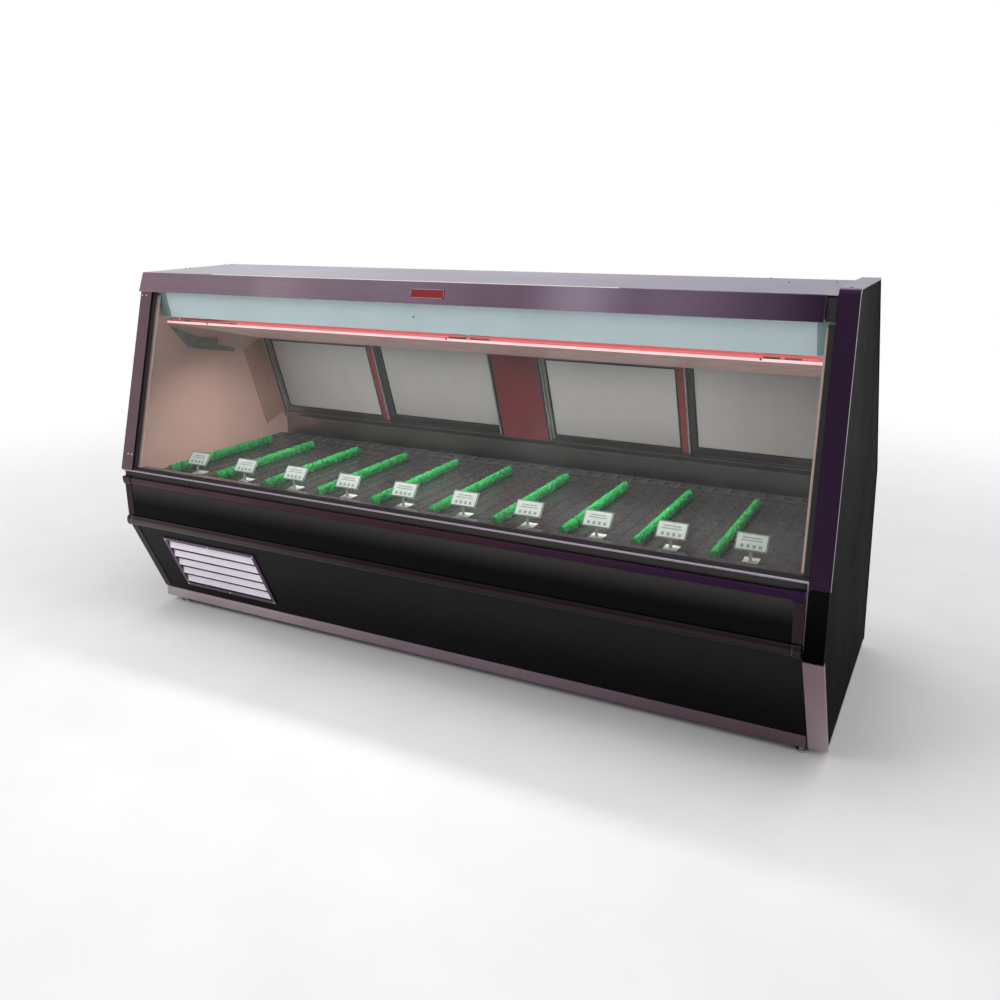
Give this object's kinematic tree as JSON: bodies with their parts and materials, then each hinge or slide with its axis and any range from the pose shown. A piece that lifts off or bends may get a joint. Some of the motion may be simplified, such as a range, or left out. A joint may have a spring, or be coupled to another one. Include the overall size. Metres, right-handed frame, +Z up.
{
  "type": "refrigerated deli case",
  "caption": "Self-contained refrigerated deli case with slanted front glass, black front panels, violet-tinted steel trim, lit canopy and sliding rear doors.",
  "frame": {"origin": "centre of the footprint, on the floor", "axes": "+X along the case to the right as the customer sees it, +Y from the front glass to the rear doors, +Z up"},
  "size_m": [2.54, 1.03, 1.326],
  "materials": {
    "tinted_steel": "brushed stainless with a violet tint",
    "top_steel": "satin",
    "inner_steel": "satin",
    "track_metal": "anodised satin",
    "zinc_steel": "galvanised",
    "frame_steel": "satin grey paint",
    "black_panel": "semi-gloss black",
    "liner_white": "baked enamel, satin",
    "canopy_white": "baked enamel, satin",
    "foam": "polyurethane foam",
    "front_glass": "clear, polished",
    "door_glass": "clear, polished",
    "lamp": "fluorescent tube",
    "rubber": "matt",
    "louvre_white": "satin white",
    "grille_violet": "satin",
    "pan_black": "black acrylic",
    "grey_plastic": "satin",
    "green_plastic": "soft moulded plastic",
    "ticket_plastic": "clear-faced card",
    "coil_metal": "fins",
    "fan_plastic": "satin",
    "black_steel": "gloss black",
    "copper": "copper pipe",
    "knob_black": "moulded",
    "switch_red": "moulded",
    "screw_steel": "polished"
  },
  "bodies": {
    "case": {"base_frame": "frame_steel", "kick_plate": "tinted_steel", "tank_shell": "zinc_steel", "tank_foam": "foam", "tank_liner": "inner_steel", "end_liners": "liner_white", "end_panels": "black_panel", "post_trims": "tinted_steel", "post_channel": "tinted_steel", "canopy_frame": "frame_steel", "canopy_top": "top_steel", "front_fascia": "tinted_steel", "canopy_apron": "canopy_white", "canopy_soffit": "canopy_white", "lamp_housing": "canopy_white", "lamp_tubes": "lamp", "lamp_supports": "grey_plastic", "front_glass": "front_glass", "glass_channel": "rubber", "ledge_trim": "tinted_steel", "belt_rail": "tinted_steel", "upper_front_panel": "black_panel", "mid_bumper": "tinted_steel", "lower_front_panel": "black_panel", "edge_strips": "black_panel", "grille_frame": "grille_violet", "grille_slats": "louvre_white", "deck_pans": "pan_black", "air_grilles": "grey_plastic", "dividers": "green_plastic", "ticket_holders": "ticket_plastic", "door_tracks": "track_metal", "rear_jambs": "inner_steel", "centre_mullion": "inner_steel", "rear_shelf": "top_steel", "rear_panel": "black_panel", "evaporator": "coil_metal", "fan_plenum": "zinc_steel", "compressor": "black_steel", "condenser": "coil_metal", "refrigerant_lines": "copper", "control_box": "grey_plastic", "trim_screws": "screw_steel"},
    "door_1": {"door_1_frame": "inner_steel", "door_1_glass": "door_glass"},
    "door_2": {"door_2_frame": "inner_steel", "door_2_glass": "door_glass"},
    "door_3": {"door_3_frame": "inner_steel", "door_3_glass": "door_glass"},
    "door_4": {"door_4_frame": "inner_steel", "door_4_glass": "door_glass"},
    "evap_fan_left": {"evap_fan_left": "fan_plastic"},
    "evap_fan_right": {"evap_fan_right": "fan_plastic"},
    "condenser_fan": {"condenser_fan": "zinc_steel"},
    "thermostat_knob": {"thermostat_knob": "knob_black"},
    "light_switch": {"light_switch": "switch_red"},
    "foot_front_left": {"foot_front_left": "zinc_steel"},
    "foot_front_right": {"foot_front_right": "zinc_steel"},
    "foot_rear_left": {"foot_rear_left": "zinc_steel"},
    "foot_rear_right": {"foot_rear_right": "zinc_steel"}
  },
  "joints": [
    {"name": "door_1_slide", "type": "slide", "parent": "case", "child": "door_1", "axis": [1, 0, 0], "range_m": [0, 0.548]},
    {"name": "door_2_slide", "type": "slide", "parent": "case", "child": "door_2", "axis": [1, 0, 0], "range_m": [-0.548, 0]},
    {"name": "door_3_slide", "type": "slide", "parent": "case", "child": "door_3", "axis": [1, 0, 0], "range_m": [0, 0.548]},
    {"name": "door_4_slide", "type": "slide", "parent": "case", "child": "door_4", "axis": [1, 0, 0], "range_m": [-0.548, 0]},
    {"name": "evap_fan_left_spin", "type": "hinge", "parent": "case", "child": "evap_fan_left", "pos_m": [-0.52, -0.093, 0.494], "axis": [0, 1, 0], "continuous": true},
    {"name": "evap_fan_right_spin", "type": "hinge", "parent": "case", "child": "evap_fan_right", "pos_m": [0.52, -0.093, 0.494], "axis": [0, 1, 0], "continuous": true},
    {"name": "condenser_fan_spin", "type": "hinge", "parent": "case", "child": "condenser_fan", "pos_m": [-0.905, -0.137, 0.192], "axis": [0, 1, 0], "continuous": true},
    {"name": "thermostat_turn", "type": "hinge", "parent": "case", "child": "thermostat_knob", "pos_m": [0.92, 0.496, 0.545], "axis": [0, 1, 0], "range_deg": [0, 270]},
    {"name": "light_switch_rock", "type": "hinge", "parent": "case", "child": "light_switch", "pos_m": [1, 0.491, 0.545], "axis": [1, 0, 0], "range_deg": [-8, 8]},
    {"name": "foot_front_left_screw", "type": "slide", "parent": "case", "child": "foot_front_left", "axis": [0, 0, 1], "range_m": [-0.012, 0.008]},
    {"name": "foot_front_right_screw", "type": "slide", "parent": "case", "child": "foot_front_right", "axis": [0, 0, 1], "range_m": [-0.012, 0.008]},
    {"name": "foot_rear_left_screw", "type": "slide", "parent": "case", "child": "foot_rear_left", "axis": [0, 0, 1], "range_m": [-0.012, 0.008]},
    {"name": "foot_rear_right_screw", "type": "slide", "parent": "case", "child": "foot_rear_right", "axis": [0, 0, 1], "range_m": [-0.012, 0.008]}
  ]
}
